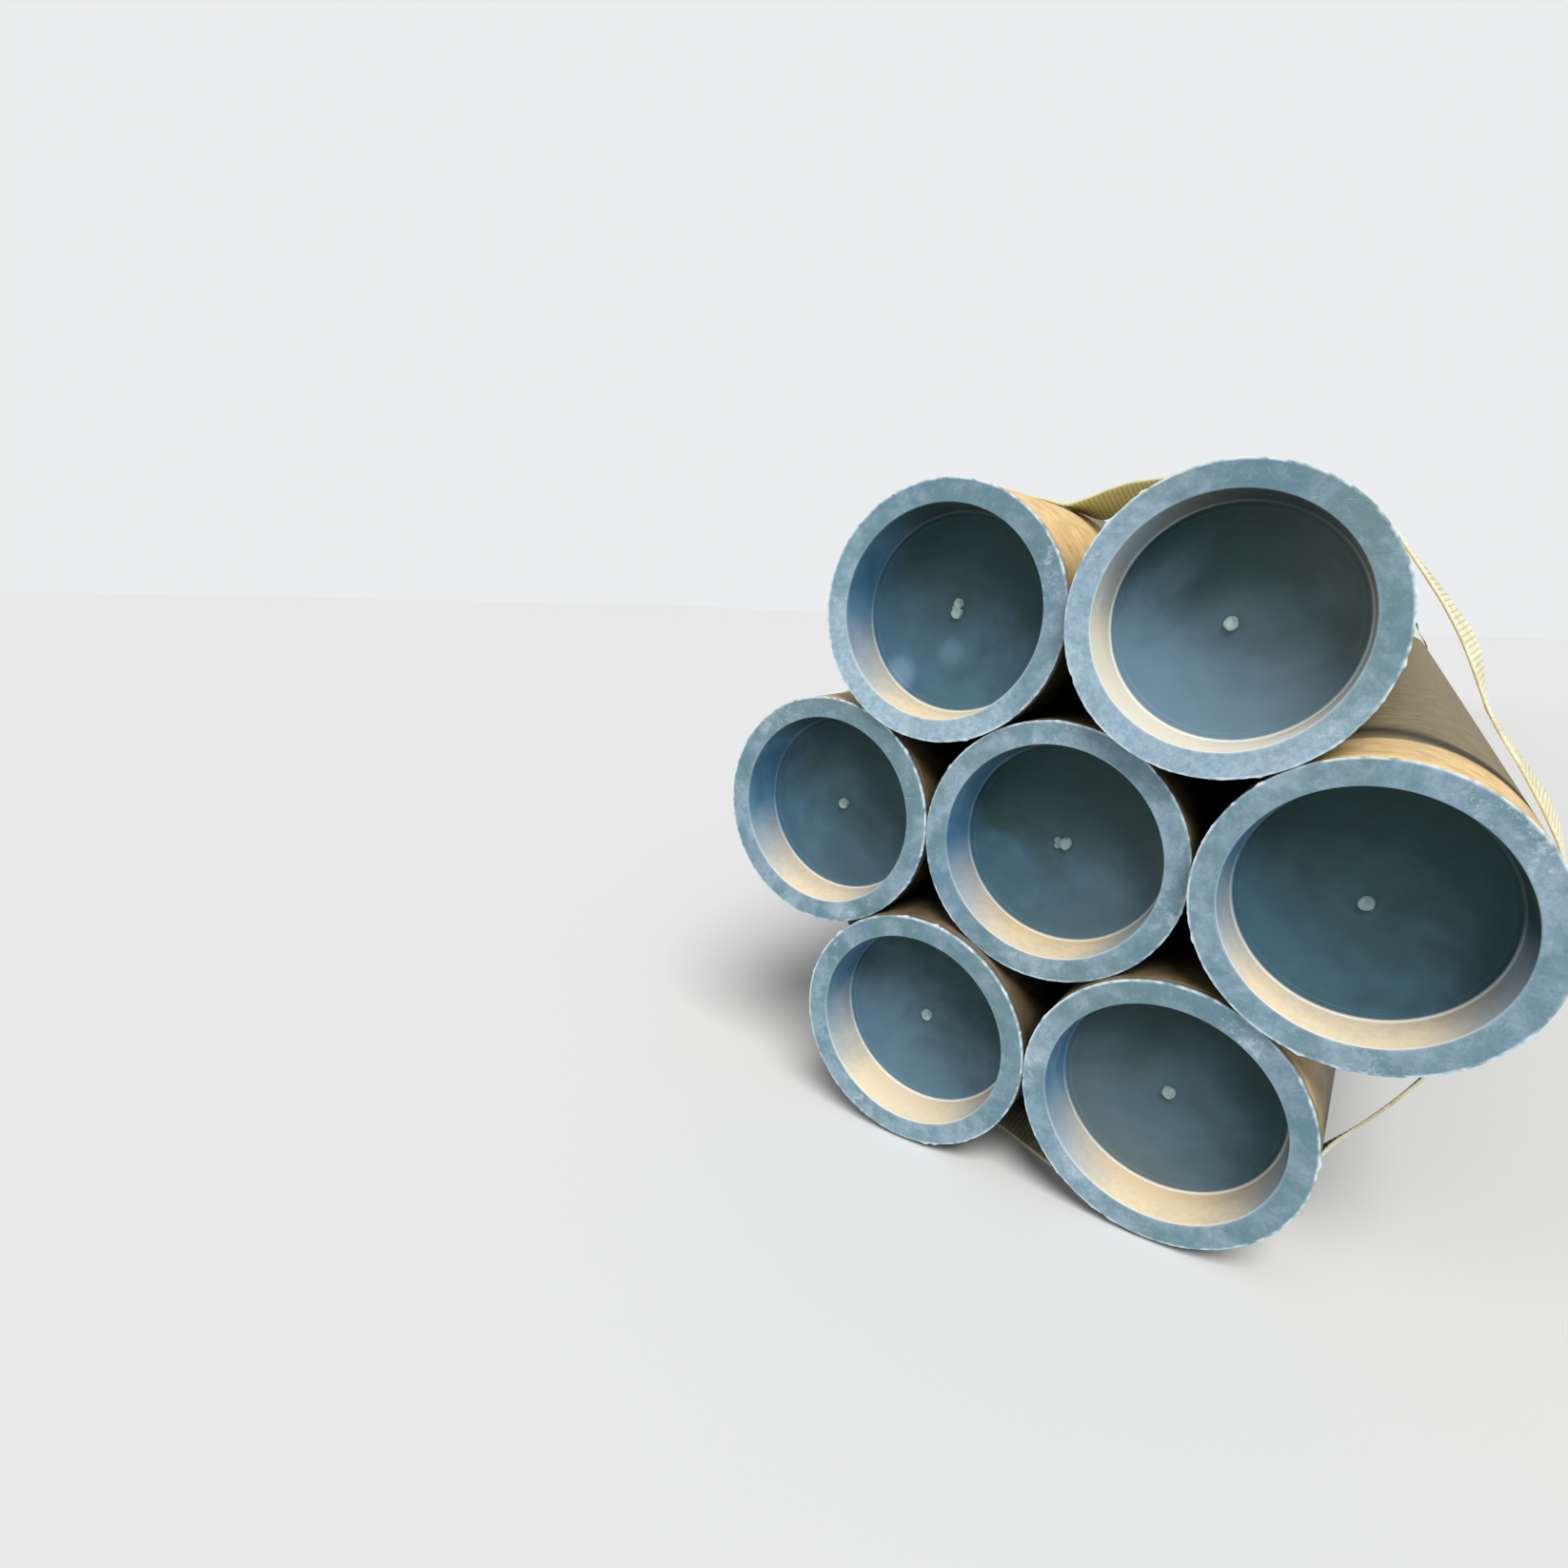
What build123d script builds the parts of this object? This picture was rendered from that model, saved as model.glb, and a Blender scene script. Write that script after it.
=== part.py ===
"""Bundle of seven steel pipes held by two woven slings, each pipe end closed by a recessed plastic plug.

Millimetres. X runs across the bundle, Y along the pipes from the front ends to the rear ends, Z up. The origin is on
the floor, in the middle of the bundle's footprint.
"""
from build123d import *
from math import copysign, degrees, radians, sqrt, tan
import os

# Pipes: seamless, 8 inch nominal, with their ends bevelled for welding
pipe_outer = 219.1
pipe_wall = 12.7
pipe_length = 6000
bevel_angle = 30
root_face = 1.6

# The pack: two pipes on three on two, each row in the hollows of the row below
pipe_gap = 0.3
end_stagger = {  # how far each pipe is shifted to the rear
    "top_left": 3,
    "top_right": -6,
    "left": 8,
    "centre": 8,
    "right": -5,
    "bottom_left": -2,
    "bottom_right": -2,
}

# End plugs: a flange over the pipe's end and a tapered cup inside its bore, gripped by barbs
flange_thickness = 3
cup_depth = 42
cup_wall = 3.6
cup_draft = 4
cup_corner = 2
barb_height = 3
barb_pitch = 12
barb_count = 2
neck_length = 8
plug_fit = 0.3
gate_diameter = 9.5
gate_height = 3.5
torn_gates = {  # gate marks that broke off in two lumps, as the places of the lumps on the cup's floor
    "plug_front_top_left": [(0.8, 8.6), (-0.4, 0.2)],
    "plug_front_centre": [(-3.4, 0), (2.6, 0)],
}

# Slings: flat woven webbing laid round the pack, with its ends lapped and sewn
sling_width = 50
sling_thickness = 3
sling_inset = 105
sling_lean = 4.6
sling_fit = 0.3
lap_length = 105
lap_turn = 20
sling_bow = {  # how far the slack webbing bows out, or sags in, between a pipe and the next one anticlockwise
    "right": 5,
    "top_right": -8,
    "top_left": -45,
    "left": 3,
    "bottom_left": 0,
    "bottom_right": 8,
}
lap_on = "left"
next_place = dict(zip(sling_bow, list(sling_bow)[1:] + list(sling_bow)[:1]))

# Worked out from the sizes above
pipe_radius = pipe_outer / 2
bore_radius = pipe_radius - pipe_wall
pitch = pipe_outer + pipe_gap
row_rise = pitch * sqrt(3) / 2
lowest_axis = sling_thickness + sling_fit + pipe_radius
middle_axis = lowest_axis + row_rise
highest_axis = middle_axis + row_rise
stagger_middle = (min(end_stagger.values()) + max(end_stagger.values())) / 2
axis_at = {
    "bottom_left": (-pitch / 2, lowest_axis),
    "bottom_right": (pitch / 2, lowest_axis),
    "left": (-pitch, middle_axis),
    "centre": (0, middle_axis),
    "right": (pitch, middle_axis),
    "top_left": (-pitch / 2, highest_axis),
    "top_right": (pitch / 2, highest_axis),
}

os.makedirs("parts", exist_ok=True)


def finish(piece, name):
    """Names a finished piece and writes it to its own file."""
    piece.part.label = name
    export_step(piece.part, f"parts/{name}.step")


def end_plane(place, facing):
    """Plane on a pipe's end, centred on its axis, with local Y pointing into the pipe.

    facing is 1 for the front end and -1 for the rear end.
    """
    x, z = axis_at[place]
    y = end_stagger[place] - stagger_middle - facing * pipe_length / 2
    return Plane(origin=(x, y, z), x_dir=(1, 0, 0), z_dir=(0, 0, facing))


def make_pipe(place):
    """One tube, turned from the section of its wall, with a weld bevel outside each end."""
    end = end_plane(place, 1)
    root_radius = bore_radius + root_face
    bevel_depth = (pipe_radius - root_radius) * tan(radians(bevel_angle))
    with BuildPart() as pipe:
        with BuildSketch(end):
            with BuildLine():
                Polyline(
                    (bore_radius, 0),
                    (root_radius, 0),
                    (pipe_radius, bevel_depth),
                    (pipe_radius, pipe_length - bevel_depth),
                    (root_radius, pipe_length),
                    (bore_radius, pipe_length),
                    close=True,
                )
            make_face()
        revolve(axis=Axis(end.origin, end.y_dir))
    return pipe


def make_plug(name, place, facing):
    """Moulded plug: a flange flush with the pipe's outside, a drafted cup, and barbs that grip the bore."""
    end = end_plane(place, facing)
    taper = tan(radians(cup_draft))
    grip_radius = bore_radius - plug_fit
    neck_radius = grip_radius - barb_height
    mouth_radius = neck_radius - cup_wall
    floor_radius = mouth_radius - taper * cup_depth
    floor_at = cup_depth - flange_thickness
    back_at = floor_at + cup_wall

    def wall_point(y):
        return (neck_radius - taper * y, y)

    # Each barb steps out square and runs back down to the cup's wall towards the inside of the pipe
    barbs = []
    for i in range(barb_count):
        tip = neck_length + i * barb_pitch
        barbs += [wall_point(tip), (grip_radius, tip)]
    barbs.append(wall_point(neck_length + barb_count * barb_pitch))
    with BuildPart() as plug:
        with BuildSketch(end):
            with BuildLine():
                Polyline(
                    (0, floor_at),
                    (floor_radius - cup_corner, floor_at),
                    (floor_radius + taper * cup_corner, floor_at - cup_corner),
                    (mouth_radius, -flange_thickness),
                    (pipe_radius, -flange_thickness),
                    (pipe_radius, 0),
                    wall_point(0),
                    *barbs,
                    wall_point(back_at),
                    (0, back_at),
                    close=True,
                )
            make_face()
        revolve(axis=Axis(end.origin, end.y_dir))
        # The gate mark stands on the cup's floor and points out of the pipe
        with BuildSketch(Plane(end.origin + end.y_dir * floor_at, x_dir=end.x_dir, z_dir=-end.y_dir)):
            with Locations(*torn_gates.get(name, [(0, 0)])):
                Circle(gate_diameter / 2)
        extrude(amount=gate_height)
    return plug


def span_directions(place):
    """How the webbing leaves this pipe and lands on the next: three directions, at its start, crest and end."""
    here = Vector(*axis_at[place])
    half = (Vector(*axis_at[next_place[place]]) - here) / 2
    outward = (here + half - Vector(*axis_at["centre"])).normalized()
    bow = sling_bow[place]
    if bow == 0:
        return outward, outward, outward
    # The webbing bows about a hub inside the pack or sags about one outside it, and meets both pipes smoothly
    hub = here + half - outward * (half.length**2 - bow**2) / (2 * bow)
    leave = (here - hub).normalized() * copysign(1, bow)
    land = (here + half * 2 - hub).normalized() * copysign(1, bow)
    return leave, outward, land


def sling_outline(radius):
    """Draws the closed line of the webbing, at this distance from the axes of the six outer pipes.

    It lies on each pipe for part of a turn. Between two pipes it bows outwards or sags into the hollow, as slack
    webbing does, and under the bundle, where the weight lies on it, it is straight.
    """
    landed = span_directions(list(sling_bow)[-1])[2]
    for place, bow in sling_bow.items():
        here = Vector(*axis_at[place])
        there = Vector(*axis_at[next_place[place]])
        leave, outward, land = span_directions(place)
        ThreePointArc(
            here + landed * radius,
            here + (landed + leave).normalized() * radius,
            here + leave * radius,
        )
        if bow == 0:
            Line(here + leave * radius, there + land * radius)
        else:
            crest = (here + there) / 2 + outward * (radius + bow)
            ThreePointArc(here + leave * radius, crest, there + land * radius)
        landed = land


def make_sling(facing):
    """One band of webbing round the pack, leaning away from its end of the bundle, with a sewn lap."""
    inside = pipe_radius + sling_fit
    outside = inside + sling_thickness
    along = -facing * (pipe_length / 2 - sling_inset)
    lean = tan(radians(sling_lean))
    reach = sling_width + lean * (row_rise + outside)
    lap_hub = Vector(*axis_at[lap_on])
    before_lap = [place for place, following in next_place.items() if following == lap_on][0]
    lap_way = (span_directions(before_lap)[2] + span_directions(lap_on)[0]).normalized() * 2 * outside
    lap_way = lap_way.rotate(Axis.Z, -lap_turn)
    half_lap = degrees(lap_length / outside / 2)
    with BuildPart() as sling:
        with BuildSketch(Plane(origin=(0, along, 0), x_dir=(1, 0, 0), z_dir=(0, -1, 0))):
            with BuildLine():
                sling_outline(outside + sling_thickness)
            make_face()
            with BuildLine():
                Polyline(
                    lap_hub,
                    lap_hub + lap_way.rotate(Axis.Z, -half_lap),
                    lap_hub + lap_way * 2,
                    lap_hub + lap_way.rotate(Axis.Z, half_lap),
                    close=True,
                )
            make_face(mode=Mode.INTERSECT)
            with BuildLine():
                sling_outline(outside)
            make_face()
            with BuildLine():
                sling_outline(inside)
            make_face(mode=Mode.SUBTRACT)
        extrude(amount=reach, both=True)
        for side in (-1, 1):
            edge = Plane(
                origin=(0, along + side * sling_width / 2, middle_axis),
                x_dir=(1, 0, 0),
                z_dir=(0, -side, side * facing * lean),
            )
            split(bisect_by=edge, keep=Keep.TOP)
    return sling


for place in axis_at:
    finish(make_pipe(place), f"pipe_{place}")
    for end, facing in {"front": 1, "rear": -1}.items():
        finish(make_plug(f"plug_{end}_{place}", place, facing), f"plug_{end}_{place}")
finish(make_sling(1), "sling_front")
finish(make_sling(-1), "sling_rear")
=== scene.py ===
"""Looks of a bundle of seven steel pipes: varnished steel, moulded plastic end plugs and woven slings.

Metres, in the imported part's frame: X across the bundle, Y along the pipes from the front ends to the rear
ones, Z up from the floor.
"""
import math

import bpy
import numpy as np
from mathutils import Matrix, Vector


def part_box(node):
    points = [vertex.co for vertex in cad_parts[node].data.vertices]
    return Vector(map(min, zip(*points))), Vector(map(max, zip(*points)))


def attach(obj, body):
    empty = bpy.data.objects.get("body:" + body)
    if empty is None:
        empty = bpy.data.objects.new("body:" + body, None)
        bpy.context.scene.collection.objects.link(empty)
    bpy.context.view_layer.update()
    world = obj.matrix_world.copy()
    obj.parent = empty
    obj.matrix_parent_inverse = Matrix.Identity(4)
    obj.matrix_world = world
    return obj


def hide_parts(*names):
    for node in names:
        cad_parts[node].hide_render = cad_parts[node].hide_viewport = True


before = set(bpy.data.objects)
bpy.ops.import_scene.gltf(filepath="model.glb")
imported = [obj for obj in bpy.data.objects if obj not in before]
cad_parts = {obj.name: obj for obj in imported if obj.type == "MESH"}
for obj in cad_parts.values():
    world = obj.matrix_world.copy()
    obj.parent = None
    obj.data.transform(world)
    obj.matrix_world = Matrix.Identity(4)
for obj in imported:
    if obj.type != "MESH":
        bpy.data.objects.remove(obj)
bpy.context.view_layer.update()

# Where the pipes lie, read from the frame
PLACES = ["top_left", "top_right", "left", "centre", "right", "bottom_left", "bottom_right"]
FACING = {"front": 1, "rear": -1}
PIPE_BOX = {place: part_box(f"pipe_{place}") for place in PLACES}
PIPE_RADIUS = (PIPE_BOX["centre"][1].z - PIPE_BOX["centre"][0].z) / 2
AXIS_AT = {place: np.array([(lo.x + hi.x) / 2, (lo.z + hi.z) / 2]) for place, (lo, hi) in PIPE_BOX.items()}
PITCH = AXIS_AT["right"][0] - AXIS_AT["centre"][0]

# Sizes of the pipes, as the part has them, and the strip with no varnish at each end
PIPE_WALL = 0.0127
BEVEL_DEPTH = 0.0064
ROOT_FACE = 0.0016
BARE_END = {place: 0.190 if place == "top_left" else 0.105 for place in PLACES}
BARE_FADE = 0.012
PIPE_SEGMENTS = 128

# Sizes of the plugs, as the part has them
FLANGE = 0.003
CUP_DEPTH = 0.042
CUP_WALL = 0.0036
CUP_CORNER = 0.002
CUP_TAPER = math.tan(math.radians(4))
PLUG_FIT = 0.0003
BARB_HEIGHT = 0.003
GRIP_RADIUS = PIPE_RADIUS - PIPE_WALL - PLUG_FIT
NECK_RADIUS = GRIP_RADIUS - BARB_HEIGHT
NECK_LENGTH = 0.008
BARB_PITCH = 0.012
BARB_COUNT = 2
GATE_RADIUS = 0.0050
GATE_HEIGHT = 0.0035

# Fine relief of the plugs, which the part leaves out: a low ring round the floor, the floor's slight bulge
# towards the mouth and its unevenness, the flange's warp, and the flash, tufts and nicks of the flange's edge
FLOOR_RING_WIDTH = 0.0060
FLOOR_RING_HEIGHT = 0.0004
FLOOR_DOME = 0.0010
FLOOR_SAG = 0.00035
FLANGE_WARP = 0.00014
FLASH = 0.00014
TUFT_COUNT = 7
NICK_COUNT = 6
PLUG_SEGMENTS = 256
LUMP_SEGMENTS = 40

# Sizes of the slings, as the part has them
SLING_WIDTH = 0.050
SLING_THICKNESS = 0.003
SLING_INSET = 0.105
SLING_LEAN = math.tan(math.radians(4.6))
SLING_FIT = 0.0003
LAP_ON = "left"
LAP_LENGTH = 0.105
LAP_TURN = math.radians(20)

# The webbing's fit in the part's thickness, its weave, its ribs and its stitches
PIPE_GAP = 0.0001
LAYER_GAP = 0.0003
YARN_PITCH = 0.0021
WEFT_PITCH = 0.0011
RIB_PITCH = 0.0046
RIB_HEIGHT = 0.00045
ROWS_PER_RIB = 4
POINTS_ACROSS = 9
STITCH_PITCH = 0.0042
STITCH_HEIGHT = 0.0007
THREAD_RADIUS = 0.0005

# How finely the webbing's line is drawn, and how far its slack is smoothed
LINE_STEPS = 200
SLACK_STEPS = 4000
BLUR_STEPS = 60
BLUR_WIDTH = 0.007

# How the slack webbing lies. Each entry gives a place along the straight line from one pipe to the next, as a
# share of it. Then it gives, in millimetres, how far the webbing's outer and inner edges stand out from that
# line, and how far the webbing has slipped towards the middle of the bundle. The outer edge is the one nearer
# the pipe ends.
SLING_SLACK = {
    "right": [
        (-0.12, 0, 3, 0), (-0.03, 1.5, 7, 0), (0.09, 2.5, 9, 0), (0.24, 2, 5, 0), (0.35, 0.3, 2, 0),
        (0.42, 0.3, 0.8, 0), (0.50, 2, 6.5, 0), (0.58, 4, 12, 0), (0.67, 5.5, 14, 0), (0.79, 5.5, 11, 0),
        (0.91, 3.5, 7, 0), (1.03, 1, 2, 0),
    ],
    "top_right": [
        (0.0, 1, 0, 0), (0.2, 4, -2, 5), (0.37, 4.5, -7, 12), (0.5, 4, -13, 25), (0.6, 0, -17, 36),
        (0.68, -5, -20, 45), (0.78, -10, -11, 52), (0.9, -2, -2, 55), (1.0, 0, 0, 55),
    ],
    "top_left": [
        (0.0, 0, 0, 50), (0.15, -4.5, -4.5, 45), (0.3, -21, -21, 36), (0.38, -34, -34, 31),
        (0.45, -42, -42, 27), (0.5, -44, -44, 25), (0.55, -42, -42, 22), (0.62, -34, -34, 20),
        (0.7, -21, -21, 16), (0.85, -4.5, -4.5, 13), (1.0, 0, 0, 12),
    ],
    "left": [(0.0, 0, 0, 25), (0.3, 1, 2, 50), (0.5, 3, 3, 62), (0.7, 2, 1, 60), (1.0, 0, 0, 50)],
    "bottom_left": [
        (0.1, 0, 0, 27), (0.32, 0, 0, 15), (0.58, 0, 0, -14), (0.75, 0, 0, -18), (0.9, 0, 0, -12),
    ],
    "bottom_right": [
        (-0.05, 0, 1, -3), (0.1, -2, 7, 0), (0.2, -4, 11, 0), (0.33, -1, 14, 0), (0.45, 1.2, 15, 0),
        (0.58, 2.2, 14, 0), (0.75, 2, 9, 0), (0.9, 0.5, 3, 0), (1.05, 0, 1, 0),
    ],
}


def linear(red, green, blue):
    """A colour given as 0 to 255 display values, as the linear values that the shaders take."""
    shares = [value / 255 for value in (red, green, blue)]
    return (*(c / 12.92 if c <= 0.04045 else ((c + 0.055) / 1.055) ** 2.4 for c in shares), 1)


def smoothstep(low, high, value):
    """Rises smoothly from 0 at low to 1 at high."""
    t = np.clip((value - low) / (high - low), 0, 1)
    return t * t * (3 - 2 * t)


def add(tree, kind, inputs=None, **settings):
    """Adds a shader node, sets its fields, and fills its sockets with values or links."""
    made = tree.nodes.new(kind)
    for name, value in settings.items():
        setattr(made, name, value)
    for name, value in (inputs or {}).items():
        socket = made.inputs[name]
        if isinstance(value, bpy.types.NodeSocket):
            tree.links.new(value, socket)
        else:
            socket.default_value = value
    return made


def near(value, at, width):
    """A smooth bump of height 1 where a value is at this place, fading over this width."""
    return np.exp(-(((value - at) / width) ** 2))


def waves(random, angles, orders, least, most):
    """A sum of waves round the circle, each with a random height between these two and a random turn."""
    total = np.zeros_like(angles)
    for order in orders:
        total += random.uniform(least, most) * np.cos(order * angles + random.uniform(0, 2 * math.pi))
    return total


def mix(tree, factor, first, second):
    """Mixes two colours."""
    made = add(tree, "ShaderNodeMix", {0: factor, 6: first, 7: second}, data_type="RGBA")
    return made.outputs[2]


def remap(tree, value, low, high, start=0.0, end=1.0):
    """Takes values from low to high smoothly to start to end."""
    inputs = {0: value, 1: low, 2: high, 3: start, 4: end}
    return add(tree, "ShaderNodeMapRange", inputs, interpolation_type="SMOOTHSTEP").outputs[0]


def maths(tree, operation, first, second=0.0):
    """One sum, product or other operation on two values."""
    return add(tree, "ShaderNodeMath", {0: first, 1: second}, operation=operation).outputs[0]


def noise(tree, scale, detail=4.0, stretch=(1, 1, 1), roughness=0.55, distortion=0.0):
    """Noise in the object's own space, which is the frame's space. Returns its value, centred on 0.5."""
    place = add(tree, "ShaderNodeTexCoord").outputs["Object"]
    scaled = add(tree, "ShaderNodeMapping", {"Vector": place, "Scale": stretch}).outputs[0]
    inputs = {"Vector": scaled, "Scale": scale, "Detail": detail}
    inputs |= {"Roughness": roughness, "Distortion": distortion}
    return add(tree, "ShaderNodeTexNoise", inputs).outputs["Fac"]


def attribute(tree, name):
    """A mesh's own field, as mesh_object writes it."""
    return add(tree, "ShaderNodeAttribute", attribute_name=name).outputs["Fac"]


def material(name):
    """A new material, with its node tree and its shader."""
    made = bpy.data.materials.new(name)
    made.use_nodes = True
    tree = made.node_tree
    return made, tree, tree.nodes["Principled BSDF"]


def plastic():
    """Blue moulded plastic: a pale scuffed flange, a darker floor that is partly painted shade, painted shade
    high and deep in the cup, pale edges that are partly painted highlight, and dust where the cup's wall
    faces up.
    """
    made, tree, shader = material("blue_plastic")
    floor = attribute(tree, "floor")
    wall = attribute(tree, "wall")
    low = attribute(tree, "low")
    dust = attribute(tree, "dust")
    depth_painted_shade = attribute(tree, "depth_painted_shade")
    cloud = noise(tree, 9, 4, distortion=0.5)
    patch = noise(tree, 30, 6, roughness=0.6, distortion=0.4)
    fine = noise(tree, 160, 6)
    scuff = noise(tree, 85, 8, roughness=0.8, distortion=0.15)
    mottle = noise(tree, 170, 6, roughness=0.75)
    scratch = noise(tree, 420, 2, stretch=(0.12, 1, 1), distortion=0.4)
    side = maths(tree, "ADD", low, remap(tree, patch, 0.3, 0.7, -0.25, 0.25))
    flange_colour = mix(tree, remap(tree, side, 0.1, 0.95), linear(104, 131, 134), linear(170, 194, 206))
    flange_colour = mix(tree, remap(tree, cloud, 0.40, 0.62, 0, 0.3), flange_colour, linear(84, 122, 156))
    flange_colour = mix(tree, remap(tree, patch, 0.48, 0.64, 0, 0.4), flange_colour, linear(146, 158, 174))
    flange_colour = mix(tree, remap(tree, mottle, 0.36, 0.64, 0, 0.5), flange_colour, linear(78, 112, 134))
    scuffs = maths(tree, "MULTIPLY", remap(tree, scuff, 0.49, 0.66, 0, 0.75), attribute(tree, "scuffed"))
    flange_colour = mix(tree, scuffs, flange_colour, linear(172, 188, 196))
    flange_colour = mix(tree, remap(tree, scratch, 0.68, 0.74, 0, 0.2), flange_colour, linear(176, 194, 202))
    # Painted shade: the floor's dark blue-green is partly its own colour and partly painted shade, and its
    # top is darker still, painted as the shade under the cup's lip.
    floor_top_in_painted_shade = mix(tree, remap(tree, patch, 0.35, 0.7), linear(18, 50, 50), linear(28, 60, 60))
    floor_low = mix(tree, remap(tree, patch, 0.35, 0.7), linear(40, 80, 98), linear(52, 94, 114))
    rise = maths(tree, "ADD", low, remap(tree, cloud, 0.3, 0.7, -0.24, 0.24))
    floor_colour = mix(tree, remap(tree, rise, 0.25, 1.0), floor_top_in_painted_shade, floor_low)
    thinner_above = remap(tree, maths(tree, "ADD", cloud, low), 0.55, 1.35)
    film = maths(tree, "MULTIPLY", attribute(tree, "film"), thinner_above)
    floor_colour = mix(tree, film, floor_colour, linear(118, 148, 172))
    haze = maths(tree, "MULTIPLY", attribute(tree, "haze"), remap(tree, cloud, 0.3, 0.7, 0.6, 1.2))
    floor_colour = mix(tree, haze, floor_colour, linear(102, 110, 102))
    wall_blue = mix(tree, remap(tree, patch, 0.3, 0.7), linear(68, 112, 142), linear(90, 132, 160))
    # Painted shade: the cup's wall turns from blue to dark grey towards its top and its right side, where the
    # lip shades it.
    wall_colour = mix(tree, remap(tree, low, 0.08, 0.5), linear(44, 60, 60), wall_blue)
    colour = mix(tree, wall, flange_colour, wall_colour)
    colour = mix(tree, floor, colour, floor_colour)
    broken = maths(tree, "MULTIPLY", dust, remap(tree, cloud, 0.3, 0.7, 0.85, 1.2))
    broken = maths(tree, "MULTIPLY", broken, remap(tree, fine, 0.2, 0.8, 0.9, 1.1))
    cover = add(tree, "ShaderNodeClamp", {0: broken}).outputs[0]
    dust_colour = mix(tree, remap(tree, dust, 0.45, 1.05), linear(190, 196, 198), linear(240, 217, 176))
    # Painted shade: the dust darkens deeper in the cup.
    dust_colour = mix(tree, remap(tree, depth_painted_shade, 0.1, 1.0, 0, 0.75), dust_colour, linear(202, 176, 136))
    dust_colour = mix(tree, remap(tree, mottle, 0.35, 0.7, 0, 0.3), dust_colour, linear(206, 178, 134))
    dust_colour = mix(tree, attribute(tree, "pale"), dust_colour, linear(218, 216, 204))
    colour = mix(tree, cover, colour, dust_colour)
    # Pale edges, partly wear and dust and partly painted highlight.
    colour = mix(tree, attribute(tree, "wear_and_painted_highlight"), colour, linear(214, 228, 232))
    gate_colour = mix(tree, remap(tree, scuff, 0.35, 0.65), linear(116, 142, 142), linear(172, 196, 190))
    colour = mix(tree, attribute(tree, "gate"), colour, gate_colour)
    tree.links.new(colour, shader.inputs["Base Color"])
    rough = remap(tree, patch, 0.3, 0.7, 0.40, 0.56)
    rough = maths(tree, "ADD", rough, maths(tree, "MULTIPLY", cover, 0.3))
    tree.links.new(rough, shader.inputs["Roughness"])
    shader.inputs["Specular IOR Level"].default_value = 0.24
    height = maths(tree, "ADD", maths(tree, "MULTIPLY", fine, 0.5), scuff)
    bump = add(tree, "ShaderNodeBump", {"Height": height, "Strength": 0.22, "Distance": 0.0006})
    tree.links.new(bump.outputs[0], shader.inputs["Normal"])
    return made


def steel():
    """Varnished steel: painted shade below and between the pipes, dull brown above, tan dust made brighter as
    painted light on top of the bare ends, with streaks and pits.
    """
    made, tree, shader = material("black_steel")
    normal = add(tree, "ShaderNodeNewGeometry").outputs["Normal"]
    up = add(tree, "ShaderNodeSeparateXYZ", {0: normal}).outputs["Z"]
    shelter_and_painted_shade = attribute(tree, "shelter_and_painted_shade")
    streak = noise(tree, 9, 5, stretch=(1, 0.12, 1), distortion=0.4)
    patch = noise(tree, 3.2, 4, stretch=(1, 0.35, 1))
    fine = noise(tree, 240, 5)
    grain = noise(tree, 70, 6, roughness=0.65)
    tilt = maths(tree, "ADD", up, remap(tree, streak, 0.25, 0.75, -0.12, 0.12))
    tilt = maths(tree, "ADD", tilt, remap(tree, patch, 0.3, 0.7, -0.08, 0.08))
    # Painted shade: the colour darkens from the sides to the undersides as they face down.
    side = mix(tree, remap(tree, grain, 0.3, 0.7), linear(70, 61, 43), linear(96, 83, 60))
    underside_painted_shade = mix(tree, remap(tree, grain, 0.3, 0.7), linear(30, 27, 21), linear(48, 42, 31))
    colour = mix(tree, remap(tree, tilt, -0.7, 0.1), underside_painted_shade, side)
    # Tan dust on the faces that look up, made brighter as painted light.
    top = mix(tree, remap(tree, grain, 0.3, 0.7), linear(214, 178, 122), linear(240, 208, 152))
    dull = mix(tree, remap(tree, grain, 0.3, 0.7), linear(116, 103, 75), linear(146, 130, 95))
    top = mix(tree, attribute(tree, "bare"), dull, top)
    open_sky = maths(tree, "SUBTRACT", 1.0, maths(tree, "MULTIPLY", shelter_and_painted_shade, 0.97))
    colour = mix(tree, maths(tree, "MULTIPLY", remap(tree, tilt, 0.0, 0.8), open_sky), colour, top)
    # Painted shade between the pipes, where they face each other.
    colour = mix(tree, maths(tree, "MULTIPLY", shelter_and_painted_shade, 0.85), colour, underside_painted_shade)
    pits = noise(tree, 95, 2, roughness=0.4)
    where = noise(tree, 5, 2)
    speck = maths(tree, "MULTIPLY", remap(tree, pits, 0.70, 0.76), remap(tree, where, 0.45, 0.6))
    colour = mix(tree, maths(tree, "MULTIPLY", speck, 0.75), colour, linear(60, 48, 36))
    tree.links.new(colour, shader.inputs["Base Color"])
    tree.links.new(remap(tree, grain, 0.3, 0.7, 0.42, 0.62), shader.inputs["Roughness"])
    height = maths(tree, "SUBTRACT", maths(tree, "ADD", maths(tree, "MULTIPLY", fine, 0.3), grain), speck)
    bump = add(tree, "ShaderNodeBump", {"Height": height, "Strength": 0.3, "Distance": 0.0008})
    tree.links.new(bump.outputs[0], shader.inputs["Normal"])
    return made


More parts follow.
